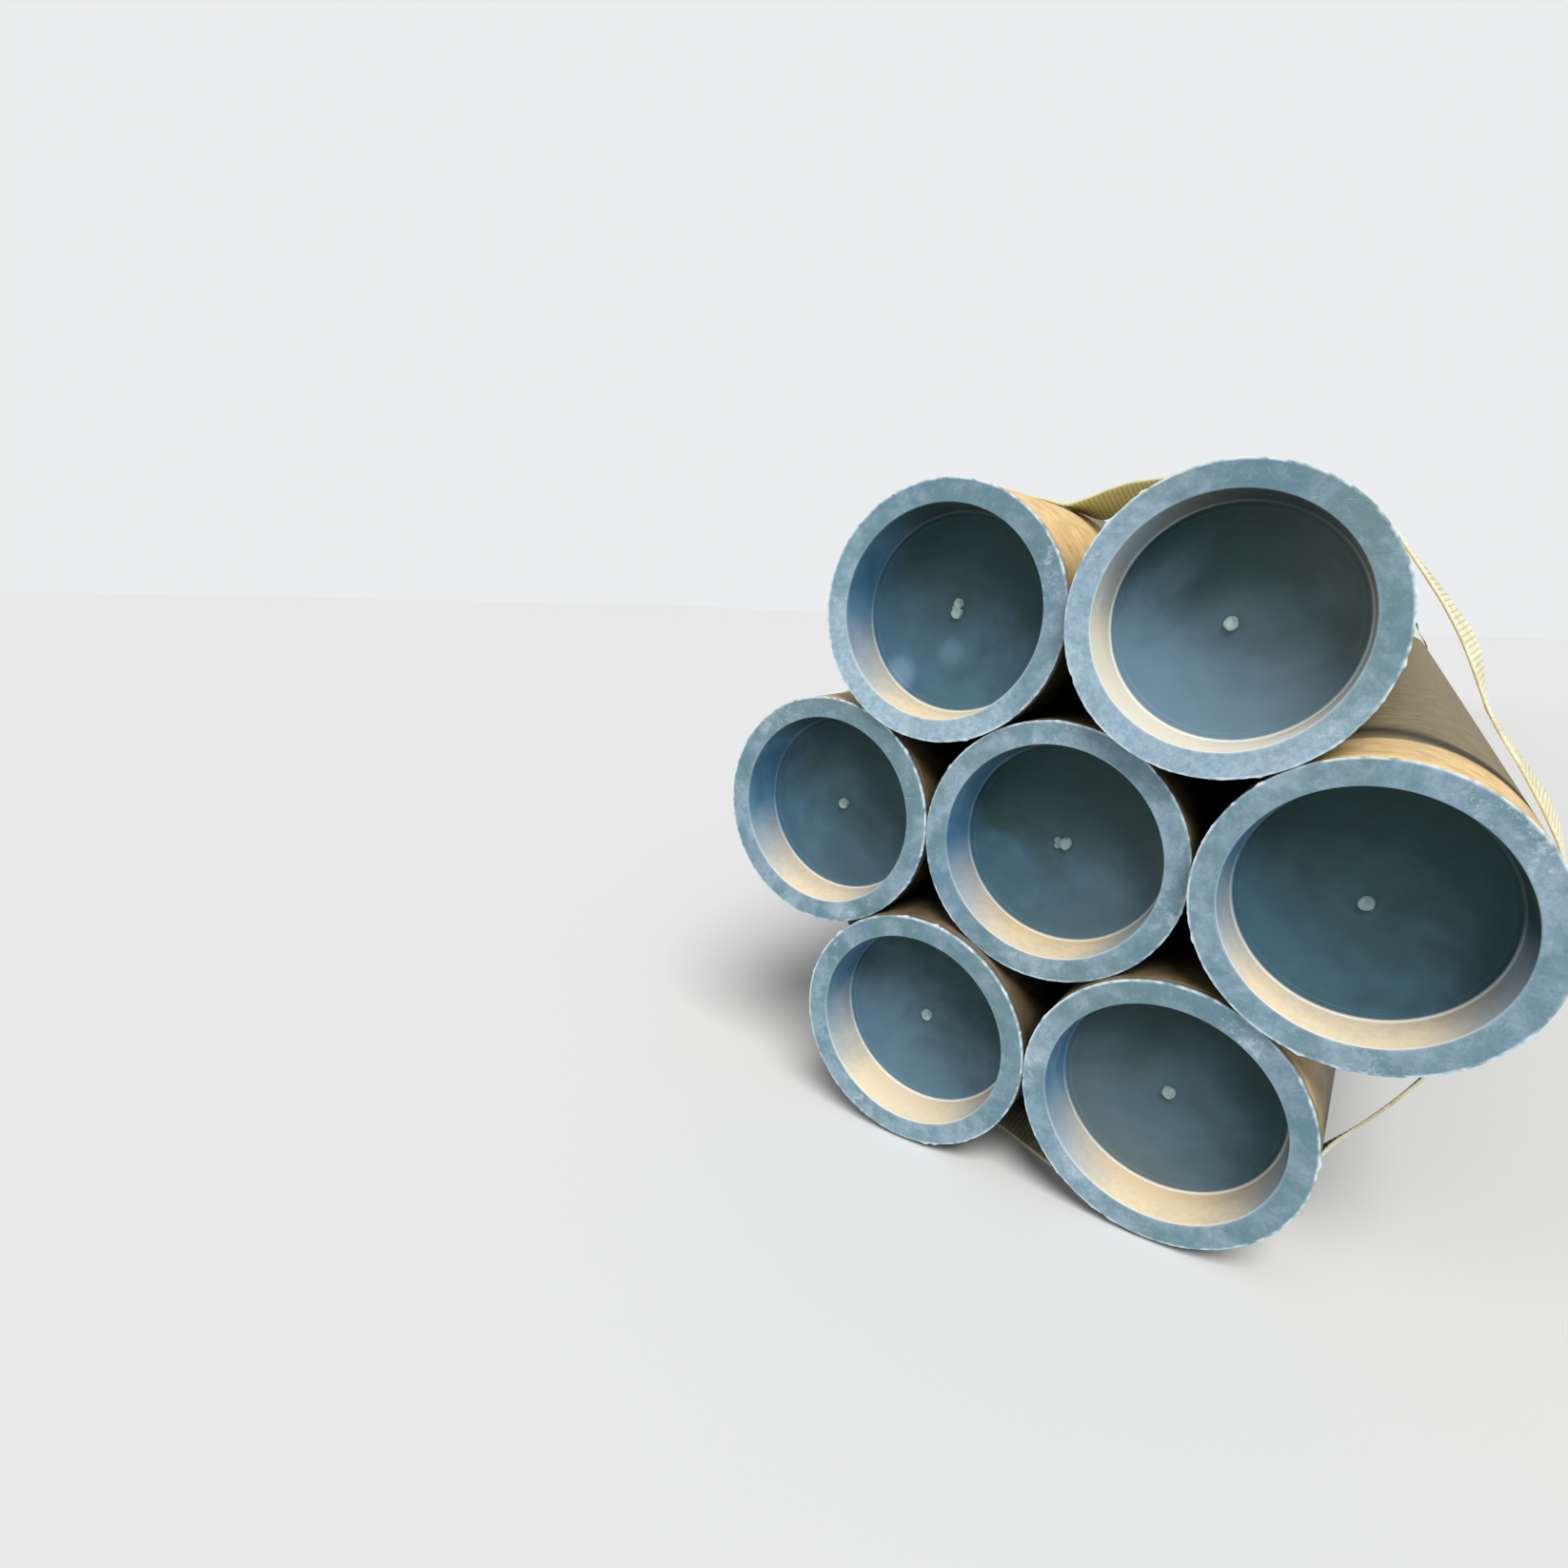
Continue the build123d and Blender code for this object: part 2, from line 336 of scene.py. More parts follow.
def webbing():
    """Undyed woven polyester: cream, with yarns and dirt rubbed into it, painted shade in the grooves between
    its ribs, and a painted olive tint of shade on one stretch over the top.
    """
    made, tree, shader = material("webbing")
    along = add(tree, "ShaderNodeUVMap", uv_map="weave").outputs[0]
    place = add(tree, "ShaderNodeSeparateXYZ", {0: along})
    yarn = maths(tree, "SINE", maths(tree, "MULTIPLY", place.outputs["Y"], 2 * math.pi / YARN_PITCH))
    weft = maths(tree, "SINE", maths(tree, "MULTIPLY", place.outputs["X"], 2 * math.pi / WEFT_PITCH))
    weave = maths(tree, "MULTIPLY", yarn, weft)
    dirt = noise(tree, 26, 6, distortion=0.8)
    painted_shade_tint = attribute(tree, "painted_shade_tint")
    fine = noise(tree, 300, 5)
    colour = mix(tree, remap(tree, dirt, 0.35, 0.72), linear(250, 243, 204), linear(202, 194, 150))
    # Painted shade: an olive tint of shade on the stretch over the two top pipes.
    colour = mix(tree, maths(tree, "MULTIPLY", painted_shade_tint, 0.8), colour, linear(206, 224, 166))
    colour = mix(tree, remap(tree, fine, 0.35, 0.75, 0, 0.5), colour, linear(252, 244, 212))
    colour = mix(tree, remap(tree, weave, -1, 1, 0.0, 0.22), colour, linear(146, 130, 86))
    # Painted shade in the grooves between the ribs.
    colour = mix(tree, attribute(tree, "painted_rib_shade"), colour, linear(134, 122, 82))
    colour = mix(tree, attribute(tree, "thread"), colour, linear(238, 232, 214))
    tree.links.new(colour, shader.inputs["Base Color"])
    shader.inputs["Roughness"].default_value = 0.85
    shader.inputs["Sheen Weight"].default_value = 0.25
    shader.inputs["Sheen Roughness"].default_value = 0.5
    bump = add(tree, "ShaderNodeBump", {"Height": weave, "Strength": 0.35, "Distance": 0.0004})
    tree.links.new(bump.outputs[0], shader.inputs["Normal"])
    return made


def round_corners(corners):
    """Turns (radius, depth, rounding) corners into a finer line, each corner rounded by an arc."""
    line = [np.array(corners[0][:2])]
    for before, corner, after in zip(corners, corners[1:], corners[2:]):
        here = np.array(corner[:2])
        rounding = corner[2]
        back = np.array(before[:2]) - here
        on = np.array(after[:2]) - here
        if rounding == 0:
            line.append(here)
            continue
        back_way = back / np.linalg.norm(back)
        on_way = on / np.linalg.norm(on)
        half = math.acos(np.clip(back_way @ on_way, -1, 1)) / 2
        reach = min(rounding / math.tan(half), np.linalg.norm(back) * 0.49, np.linalg.norm(on) * 0.49)
        radius = reach * math.tan(half)
        steps = 2 if rounding < 0.0005 else 3 if rounding < 0.001 else 5
        hub = here + (back_way + on_way) / np.linalg.norm(back_way + on_way) * (radius / math.sin(half))
        first = here + back_way * reach - hub
        last = here + on_way * reach - hub
        for k in range(steps + 1):
            way = first * (1 - k / steps) + last * (k / steps)
            line.append(hub + way / np.linalg.norm(way) * radius)
    line.append(np.array(corners[-1][:2]))
    return line


def divide(line, longest):
    """Splits the straight parts of a line so that none is longer than this."""
    fine = [line[0]]
    for start, end in zip(line, line[1:]):
        parts = max(1, math.ceil(np.linalg.norm(end - start) / longest))
        fine += [start + (end - start) * k / parts for k in range(1, parts + 1)]
    return np.array(fine)


def mesh_object(name, points, faces, look, fields=None):
    """Makes a smooth-shaded mesh object, with one number a point for each named field."""
    mesh = bpy.data.meshes.new(name)
    mesh.from_pydata(points.tolist(), [], faces)
    mesh.update()
    for field, values in (fields or {}).items():
        layer = mesh.attributes.new(field, "FLOAT", "POINT")
        layer.data.foreach_set("value", np.asarray(values, np.float32))
    mesh.polygons.foreach_set("use_smooth", np.ones(len(mesh.polygons), bool))
    mesh.set_sharp_from_angle(angle=math.radians(50))
    mesh.materials.append(look)
    made = bpy.data.objects.new(name, mesh)
    bpy.context.scene.collection.objects.link(made)
    return made


def grid_faces(rows, columns, offset=0, closed_rows=False, flip=False):
    """Quads of a grid of points whose columns close on themselves, and whose rows may too."""
    faces = []
    for i in range(rows if closed_rows else rows - 1):
        a = offset + i * columns
        b = offset + (i + 1) % rows * columns
        for j in range(columns):
            k = (j + 1) % columns
            quad = (a + j, b + j, b + k, a + k)
            faces.append(quad[::-1] if flip else quad)
    return faces


def cap_faces(ring_start, columns, centre, flip):
    """Triangles that join a ring of points to one centre point."""
    faces = []
    for j in range(columns):
        triangle = (centre, ring_start + j, ring_start + (j + 1) % columns)
        faces.append(triangle[::-1] if flip else triangle)
    return faces


def neighbour_angles(place):
    """Directions, round a pipe's end, in which it touches another pipe."""
    angles = []
    for other in PLACES:
        step = AXIS_AT[other] - AXIS_AT[place]
        if other != place and np.linalg.norm(step) < PITCH * 1.1:
            angles.append(math.atan2(step[1], step[0]))
    return angles


def angle_between(angles, other):
    """The smaller angle from each direction to one other."""
    return np.abs((angles - other + math.pi) % (2 * math.pi) - math.pi)


def rim_edge(angles, place, random):
    """How far a flange's edge stands out: flash, a few tufts and nicks, and nothing where pipes touch."""
    edge = np.clip(waves(random, angles, (19, 37, 61, 97, 121), 0.3, 1.0), -0.6, 3) * FLASH
    for _ in range(TUFT_COUNT):
        away = angle_between(angles, random.uniform(0, 2 * math.pi))
        height = random.uniform(0.0004, 0.0018)
        edge += height * near(away, 0, random.uniform(0.012, 0.03))
    for _ in range(NICK_COUNT):
        away = angle_between(angles, random.uniform(0, 2 * math.pi))
        depth = random.uniform(0.0003, 0.0008)
        edge -= depth * near(away, 0, random.uniform(0.01, 0.025))
    for spot in neighbour_angles(place):
        edge *= smoothstep(0.10, 0.22, angle_between(angles, spot))
    return edge


# Dust on each cup's wall: where it begins and where it is full, by how far the wall faces up, how much more
# lies on the left side, and how pale it is
CUP_DUST = {
    "top_left": (-0.05, 0.97, 0.0, 0.2),
    "top_right": (-1.1, 0.65, 0.35, 0.7),
    "left": (0.1, 1.02, 0.05, 0.15),
    "centre": (0.05, 1.04, 0.0, 0.0),
    "right": (-0.2, 0.88, 0.1, 0.25),
    "bottom_left": (-0.3, 0.88, 0.0, 0.3),
    "bottom_right": (-0.1, 1.0, -0.16, 0.1),
}
# How pale each flange is, and how much paler opposite the direction in which it gets darker
FLANGE_DARK_WAY = 1.0
FLANGE_PALE = {
    "top_left": (0.5, 0.45),
    "top_right": (0.6, 0.5),
    "left": (0.3, 0.15),
    "centre": (0.36, 0.0),
    "right": (0.4, 0.0),
    "bottom_left": (0.33, 0.18),
    "bottom_right": (0.3, 0.2),
}
# Directions in which each front flange is scuffed most, how far the rear one's scuffs are turned from those,
# and how far round each of them spreads
FLANGE_SCUFFS = {
    "top_left": (3.14, -1.94, 0.35),
    "top_right": (-0.68, 2.75, -1.9),
    "left": (2.2, -1.2),
    "centre": (1.65, -1.6, -0.2),
    "right": (1.0, 0.61, -1.5),
    "bottom_left": (2.5, -2.1),
    "bottom_right": (3.0, 1.0, -2.2),
}
REAR_TURN = 1.3
SCUFF_SPREAD = 0.2
# How thick a film of pale dust lies on each cup's floor, and the direction in which painted shade makes the
# floor darker
CUP_FILM = {
    "top_left": (0.2, 1.0),
    "top_right": (0.64, 1.4),
    "left": (0.25, 1.0),
    "centre": (0.12, 1.5),
    "right": (0.12, 1.0),
    "bottom_left": (0.42, 1.0),
    "bottom_right": (0.22, 1.0),
}
# A grey haze on some floors: how thick, and the direction in which it gets thicker
CUP_HAZE = {"top_right": (0.55, -0.2), "centre": (0.3, -0.9), "bottom_right": (0.6, -2.4)}
# Thicker patches in the film of two floors: right, up, radius and strength
FLOOR_MARKS = {
    "plug_front_top_left": [(-0.054, -0.056, 0.015, 0.6), (-0.004, -0.034, 0.012, 0.25)],
    "plug_front_top_right": [
        (0.048, 0.066, 0.012, 0.9), (0.060, 0.056, 0.012, 0.7), (0.079, 0.017, 0.008, 0.5),
    ],
}
# Gate marks that tore when the sprue was broken off, as lumps across the cup's floor: right, up and radius
TORN_GATES = {
    "plug_front_top_left": [
        (0.0008, 0.0086, 0.0042), (-0.0004, 0.0002, 0.0049), (-0.0030, 0.0050, 0.0022),
    ],
    "plug_front_centre": [
        (0.0026, 0.0, 0.0050), (-0.0046, 0.0020, 0.0026), (-0.0042, -0.0027, 0.0028),
    ],
}
# Outline of a gate mark, from its foot to its dished top: share of its radius and share of its height
GATE_PROFILE = ((1.08, -0.1), (1.02, 0.3), (1.0, 0.75), (0.93, 0.97), (0.82, 1.0), (0.62, 0.84), (0.3, 0.74))


def gate_lump(centre, radius, height, floor_at, random):
    """A small lump with a dished top, on the cup's floor. Returns its rings of points."""
    angles = np.arange(LUMP_SEGMENTS) * 2 * math.pi / LUMP_SEGMENTS
    outline = 1 + waves(random, angles, (2, 3, 5), 0, 0.04)
    rings = []
    for share, rise in GATE_PROFILE:
        x = centre[0] + radius * share * outline * np.cos(angles)
        z = centre[1] + radius * share * outline * np.sin(angles)
        depth = floor_at - height * rise + random.uniform(-0.0001, 0.0001)
        rings.append(np.stack([x, np.full(LUMP_SEGMENTS, depth), z], 1))
    return np.array(rings)


def plug_line(floor_at, floor_radius, mouth):
    """A plug's section, from the middle of the floor round the flange and barbs to the middle of the back."""
    back_at = floor_at + CUP_WALL
    ring_at = floor_at - FLOOR_RING_HEIGHT
    corners = [
        (0.0, floor_at, 0),
        (floor_radius - FLOOR_RING_WIDTH, floor_at, 0.0005),
        (floor_radius - FLOOR_RING_WIDTH + FLOOR_RING_HEIGHT, ring_at, 0.0003),
        (floor_radius - CUP_CORNER, ring_at, 0),
        (floor_radius, ring_at, 0.0012),
        (floor_radius + CUP_TAPER * CUP_CORNER, ring_at - CUP_CORNER, 0),
        (mouth - CUP_TAPER * FLANGE, 0.0, 0),
        (mouth, -FLANGE, 0.0010),
        (mouth + 0.0025, -FLANGE, 0),
        (PIPE_RADIUS - 0.0022, -FLANGE, 0),
        (PIPE_RADIUS, -FLANGE, 0.0006),
        (PIPE_RADIUS, 0.0, 0.0004),
        (NECK_RADIUS, 0.0, 0),
    ]
    for i in range(BARB_COUNT):
        tip = NECK_LENGTH + i * BARB_PITCH
        corners += [(NECK_RADIUS - CUP_TAPER * tip, tip, 0), (GRIP_RADIUS, tip, 0.0003)]
    tip = NECK_LENGTH + BARB_COUNT * BARB_PITCH
    corners += [
        (NECK_RADIUS - CUP_TAPER * tip, tip, 0),
        (NECK_RADIUS - CUP_TAPER * back_at, back_at, 0.003),
        (0.0, back_at, 0),
    ]
    return divide(round_corners(corners), 0.006)


def make_plug(place, end, look):
    """One plug: its turned section with flash, warps and a gate mark, in place of the part's plain one."""
    node = f"plug_{end}_{place}"
    facing = FACING[end]
    random = np.random.default_rng(100 + PLACES.index(place) + (50 if facing < 0 else 0))
    low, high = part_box(node)
    seat_y = low.y + FLANGE if facing > 0 else high.y - FLANGE
    mouth = NECK_RADIUS - CUP_WALL
    floor_at = CUP_DEPTH - FLANGE
    floor_radius = mouth - CUP_TAPER * CUP_DEPTH
    # The line's two ends are on the axis, and get a point each further down
    line = plug_line(floor_at, floor_radius, mouth)[1:-1]
    radius = line[:, 0][:, None]
    depth = line[:, 1][:, None]
    angles = np.arange(PLUG_SEGMENTS) * 2 * math.pi / PLUG_SEGMENTS
    inside = depth < floor_at + 0.0001
    on_floor = (radius < floor_radius - 0.001) & inside
    on_wall = (radius < mouth + 0.0002) & inside & ~on_floor
    on_flange = (radius >= mouth) & (depth < 0.0002)
    share_out = np.clip((radius - mouth) / (PIPE_RADIUS - mouth), 0, 1) * on_flange
    edge = rim_edge(angles, place, random)
    warp = waves(random, angles, (1, 2, 3, 5, 8), 0.2, 1)
    r = radius + edge * smoothstep(0.9, 1.0, share_out)
    y = depth - FLANGE_WARP * (warp + 2.5) * share_out
    sag = waves(random, angles, (1, 2, 3), 0.2, 1)
    share_in = np.clip(radius / floor_radius, 0, 1)
    y = y - on_floor * (FLOOR_DOME * (1 - share_in**2) + FLOOR_SAG * sag * share_in * (1 - share_in) * 4)
    points = np.stack([r * np.cos(angles), y * np.ones_like(angles), r * np.sin(angles)], 2).reshape(-1, 3)
    rows = len(line)
    columns = PLUG_SEGMENTS
    flip = facing < 0
    faces = grid_faces(rows, columns, flip=flip)
    centre_front = rows * columns
    faces += cap_faces(0, columns, centre_front, flip)
    faces += cap_faces((rows - 1) * columns, columns, centre_front + 1, not flip)
    points = np.vstack([points, [[0, floor_at - FLOOR_DOME, 0], [0, floor_at + CUP_WALL, 0]]])

    up = -np.sin(angles)  # how far the cup's inner wall faces up
    start, full, more_left, pale = CUP_DUST[place]
    thickness, dark_way = CUP_FILM[place]
    settled = np.clip((up - more_left * np.cos(angles) - start) / (full - start), 0, 1)
    dust = settled**1.1 * on_wall
    dust = np.maximum(dust, smoothstep(0.96, 1.0, share_in) * smoothstep(0.3, 0.9, up) * on_floor * 0.12)
    ones = np.ones((1, columns))
    frayed = sum(np.cos(k * angles + random.uniform(0, 2 * math.pi)) for k in (13, 29, 47, 83))
    # Pale lines on the flange's outer edge, round the mouth and where the floor meets the wall: partly wear
    # and dust, partly painted highlight.
    rim = near(radius, PIPE_RADIUS - 0.0004, 0.0007) * (depth < 0.0005)
    wear_and_painted_highlight = rim * np.clip(0.55 + 0.2 * warp + 0.22 * frayed, 0.1, 0.95)
    wear_and_painted_highlight = np.maximum(wear_and_painted_highlight, (edge > 0.0003) * (radius > PIPE_RADIUS - 0.0015) * (depth < 0.001) * 0.9)
    wear_and_painted_highlight = wear_and_painted_highlight + near(radius, mouth, 0.0008) * (depth < 0.0) * (0.12 + 0.3 * settled)
    junction = near(radius, floor_radius - 0.0001, 0.0005) * inside * (depth > floor_at - 0.002)
    wear_and_painted_highlight = np.maximum(wear_and_painted_highlight, junction * (0.03 + 0.55 * settled))
    film = thickness * ones
    greyness, grey_way = CUP_HAZE.get(place, (0.0, 0.0))
    haze = greyness * (0.5 + 0.5 * share_in * np.cos(angles - grey_way)) ** 2
    for right, above, size, strength in FLOOR_MARKS.get(node, []):
        away = np.hypot(radius * np.cos(angles) - right, radius * np.sin(angles) - above)
        film = film + strength * np.exp(-((away / size) ** 4))
    shade, slant = FLANGE_PALE[place]
    # Larger where lighter. On the floor and the cup's wall this is painted shade, darker at the floor's top
    # and at the wall's top and right. On the flange it is a paleness that varies round it.
    painted_shade_and_paleness = on_floor * (0.5 - 0.5 * share_in * np.cos(angles - dark_way))
    painted_shade_and_paleness = painted_shade_and_paleness + on_flange * (shade - slant * np.cos(angles - FLANGE_DARK_WAY))
    painted_shade_and_paleness = painted_shade_and_paleness + on_wall * (0.5 + 0.5 * up - 0.3 * np.cos(angles))
    turn = REAR_TURN if facing < 0 else 0
    scuffed = 0.4
    for spot in FLANGE_SCUFFS[place]:
        scuffed = scuffed + near(angle_between(angles, spot + turn), 0, SCUFF_SPREAD)
    fields = {
        "floor": (on_floor * 1.0) * ones,
        "wall": (on_wall * 1.0) * ones,
        "wear_and_painted_highlight": wear_and_painted_highlight * ones,
        "dust": dust * ones,
        "low": painted_shade_and_paleness,
        "pale": pale * on_wall * ones,
        "film": film * on_floor,
        "haze": haze * on_floor,
        "scuffed": scuffed * on_flange,
        "depth_painted_shade": np.clip((depth + FLANGE) / CUP_DEPTH, 0, 1) * on_wall * ones,
        "gate": np.zeros((rows, columns)),
    }
    fields = {name: np.append(values.ravel(), [values[0, 0], 0]) for name, values in fields.items()}

    for right, above, size in TORN_GATES.get(node, [(0.0, 0.0, GATE_RADIUS)]):
        height = GATE_HEIGHT * min(1, size / GATE_RADIUS)
        rings = gate_lump((right, above), size, height, floor_at - FLOOR_DOME, random)
        first = len(points)
        lump = rings.reshape(-1, 3)
        top_ring = len(lump) - LUMP_SEGMENTS
        points = np.vstack([points, lump, lump[top_ring:].mean(0)[None]])
        faces += grid_faces(len(rings), LUMP_SEGMENTS, first, flip=not flip)
        faces += cap_faces(first + top_ring, LUMP_SEGMENTS, first + len(lump), flip)
        lump_fields = {"gate": min(1, 0.5 + 0.6 * thickness), "low": 0.5, "floor": 1.0}
        for name in fields:
            fields[name] = np.append(fields[name], np.full(len(lump) + 1, lump_fields.get(name, 0.0)))

    x, z = AXIS_AT[place]
    points = points * [1, facing, 1] + [x, seat_y, z]
    plug = mesh_object(f"moulded_{node}", points, faces, look, fields)
    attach(plug, "root")
    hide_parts(node)


def make_pipe(place, look):
    """One pipe, turned with many sides, its weld bevels slightly rounded by handling."""
    node = f"pipe_{place}"
    low, high = PIPE_BOX[place]
    length = high.y - low.y
    bore = PIPE_RADIUS - PIPE_WALL
    bare_end = BARE_END[place]
    corners = [
        (bore, length / 2, 0),
        (bore, 0.0, 0.0002),
        (bore + ROOT_FACE, 0.0, 0.0002),
        (PIPE_RADIUS, BEVEL_DEPTH, 0.0008),
        (PIPE_RADIUS, bare_end / 2, 0),
        (PIPE_RADIUS, bare_end, 0),
        (PIPE_RADIUS, bare_end + BARE_FADE, 0),
        (PIPE_RADIUS, length - bare_end - BARE_FADE, 0),
        (PIPE_RADIUS, length - bare_end, 0),
        (PIPE_RADIUS, length - bare_end / 2, 0),
        (PIPE_RADIUS, length - BEVEL_DEPTH, 0.0008),
        (bore + ROOT_FACE, length, 0.0002),
        (bore, length, 0.0002),
        (bore, length / 2, 0),
    ]
    line = divide(round_corners(corners), 0.6)[:-1]
    angles = np.arange(PIPE_SEGMENTS) * 2 * math.pi / PIPE_SEGMENTS
    r = line[:, 0][:, None] * np.ones_like(angles)
    y = line[:, 1][:, None] * np.ones_like(angles)
    x, z = AXIS_AT[place]
    points = np.stack([x + r * np.cos(angles), low.y + y, z + r * np.sin(angles)], 2).reshape(-1, 3)
    faces = grid_faces(len(line), PIPE_SEGMENTS, closed_rows=True)
    inward = AXIS_AT["centre"] - AXIS_AT[place]
    if place == "centre":
        turned = 0 * angles
    else:
        turned = angle_between(angles, math.atan2(inward[1], inward[0]))
    # Where the pipes face each other: no dust lies there, and painted shade darkens it.
    shelter_and_painted_shade = smoothstep(math.radians(68), math.radians(56), turned)
    from_end = np.minimum(line[:, 1], length - line[:, 1])
    bare = smoothstep(bare_end + BARE_FADE, bare_end, from_end)
    inner = 0.7 + 0.3 * smoothstep(0, bare_end, from_end)
    fields = {"shelter_and_painted_shade": np.outer(inner, shelter_and_painted_shade).ravel(), "bare": np.repeat(bare, PIPE_SEGMENTS)}
    pipe = mesh_object(f"varnished_{node}", points, faces, look, fields)
    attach(pipe, "root")
    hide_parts(node)


def sling_line():
    """The webbing's closed line, tight round the six outer pipes, and how its two edges stray from it."""
    ring = list(SLING_SLACK)
    following = dict(zip(ring, ring[1:] + ring[:1]))
    middle = AXIS_AT["centre"]
    inner = PIPE_RADIUS + SLING_FIT

    def outward(place):
        way = (AXIS_AT[place] + AXIS_AT[following[place]]) / 2 - middle
        return way / np.linalg.norm(way)

    points = []
    ways = []
    knots = []
    landed = outward(ring[-1])
    at = 0.0
    arc_length = inner * math.pi / 3
    stations = {}
    t = np.linspace(0, 1, LINE_STEPS, endpoint=False)[:, None]
    for place in ring:
        leave = outward(place)
        here = AXIS_AT[place]
        there = AXIS_AT[following[place]]
        turned = landed * (1 - t) + leave * t
        turned /= np.linalg.norm(turned, axis=1)[:, None]
        points.append(here + turned * inner)
        ways.append(turned)
        points.append(here + leave * inner + (there - here) * t)
        ways.append(np.repeat(leave[None], LINE_STEPS, 0))
        stations[place] = at + arc_length
        knots += [(stations[place] + PITCH * share, *values) for share, *values in SLING_SLACK[place]]
        at += arc_length + PITCH
        landed = leave
    line = {"point": np.vstack(points), "way": np.vstack(ways), "length": at, "stations": stations}
    steps = np.linalg.norm(np.diff(np.vstack([line["point"], line["point"][:1]]), axis=0), axis=1)
    line["at"] = np.append(0, np.cumsum(steps)[:-1]) * (at / steps.sum())
    fine = np.arange(SLACK_STEPS) * at / SLACK_STEPS
    knots = np.array(sorted(knots))
    blur = near(np.arange(-BLUR_STEPS, BLUR_STEPS + 1) * at / SLACK_STEPS, 0, BLUR_WIDTH)
    blur /= blur.sum()
    line["fine"] = fine
    for name, column in (("outer", 1), ("inner", 2), ("slip", 3)):
        values = np.interp(fine, knots[:, 0], knots[:, column] / 1000, period=at)
        around = np.concatenate([values[-BLUR_STEPS:], values, values[:BLUR_STEPS]])
        line[name] = np.convolve(around, blur, "valid")
    return line


SLING_LINE = sling_line()


def sling_surface(along, across, height, facing):
    """Points on a sling, by place along its line, across its width from 0 to 1, and height off the pipes."""
    line = SLING_LINE

    def read(values, at="fine"):
        return np.interp(along, line[at], values, period=line["length"])

    x = read(line["point"][:, 0], "at")
    z = read(line["point"][:, 1], "at")
    way_x = read(line["way"][:, 0], "at")
    way_z = read(line["way"][:, 1], "at")
    lift = read(line["outer"]) * (1 - across) + read(line["inner"]) * across
    lift = pack_floor(x + way_x * lift, z + way_z * lift, lift)
    out = height + lift
    px = x + way_x * out
    pz = z + way_z * out
    middle_height = AXIS_AT["centre"][1]
    tilt = (read(line["inner"]) - read(line["outer"])) / SLING_WIDTH
    shrink = np.sqrt(np.clip(1 - tilt**2, 0.3, 1))
    py = (across - 0.5) * SLING_WIDTH * shrink + SLING_LEAN * (z - middle_height) + read(line["slip"])
    nominal = 0.5 * (PIPE_BOX["centre"][1].y - PIPE_BOX["centre"][0].y) - SLING_INSET
    return np.stack([px, facing * (py - nominal), pz], -1)


def pack_floor(x, z, lift):
    """Raises the webbing where it would otherwise sink into a pipe."""
    for axis in AXIS_AT.values():
        depth = PIPE_RADIUS + SLING_FIT - np.hypot(x - axis[0], z - axis[1])
        lift = lift + np.where(depth > 0, depth, 0)
    return lift


def band(start, end, base, thickness, facing, closed):
    """One layer of webbing with ribs across both faces, between two places along the line.

    Returns its points and faces, its fields for the painted shade in the grooves and the painted tint of
    shade, the weave's coordinates, and the number of points round its section.
    """
    length = (end - start) % SLING_LINE["length"] or SLING_LINE["length"]
    rows = round(length / RIB_PITCH) * ROWS_PER_RIB
    along = start + length * np.arange(rows + (0 if closed else 1)) / rows
    phase = np.arange(len(along)) % ROWS_PER_RIB
    ridge = np.array([-1.0, 0.35, 1.0, 0.35])[phase] * RIB_HEIGHT / 2
    face = np.linspace(0.012, 0.988, POINTS_ACROSS)
    flat = np.ones(POINTS_ACROSS)
    loop_across = np.concatenate([face, [1.0, 1.0], face[::-1], [0.0, 0.0]])
    loop_side = np.concatenate([flat, [0.45, -0.45], -flat, [-0.45, 0.45]])
    side = loop_side[None, :] / 2
    on_face = np.abs(side) > 0.4
    centre = base + thickness / 2
    height = centre + side * thickness + np.sign(side) * on_face * ridge[:, None]
    height = np.maximum(height, base)
    along_grid = along[:, None] + 0 * side
    across_grid = loop_across[None, :] + 0 * along[:, None]
    points = sling_surface(along_grid, across_grid, height, facing)
    columns = len(loop_across)
    faces = grid_faces(len(along), columns, closed_rows=closed, flip=facing < 0)
    # Painted shade in the grooves between the ribs.
    painted_rib_shade = ((phase == 0)[:, None] & on_face) * 0.55
    coordinates = np.stack([along_grid, across_grid * SLING_WIDTH], -1)
    # Painted shade: an olive tint of shade on the stretch between the two top pipes.
    stretch = SLING_LINE["stations"]["top_right"] - 0.02
    painted_shade_tint = smoothstep(0, 0.05, along - stretch) * smoothstep(0.50, 0.40, along - stretch)
    painted_shade_tint = np.repeat(painted_shade_tint, columns)
    return points.reshape(-1, 3), faces, painted_rib_shade.ravel(), painted_shade_tint, coordinates.reshape(-1, 2), columns


def seams(middle, top):
    """The seams of a sling, each with its start, its end and the height that it lies on.

    They are four lines along the lap, four across it and the five lines of a bar tack on the pack's right.
    """
    reach = LAP_LENGTH / 2 - 0.006
    rows = [((middle - reach, across), (middle + reach, across), top) for across in (0.12, 0.30, 0.70, 0.88)]
    for shift in (-reach, -reach + 0.016, reach - 0.016, reach):
        rows.append(((middle + shift, 0.12), (middle + shift, 0.88), top))
    tack = SLING_LINE["stations"]["top_right"] + 0.55 * PITCH
    for shift in (-0.006, -0.003, 0.0, 0.003, 0.006):
        rows.append(((tack + shift, 0.2), (tack + shift, 0.75), SLING_THICKNESS))
    return rows


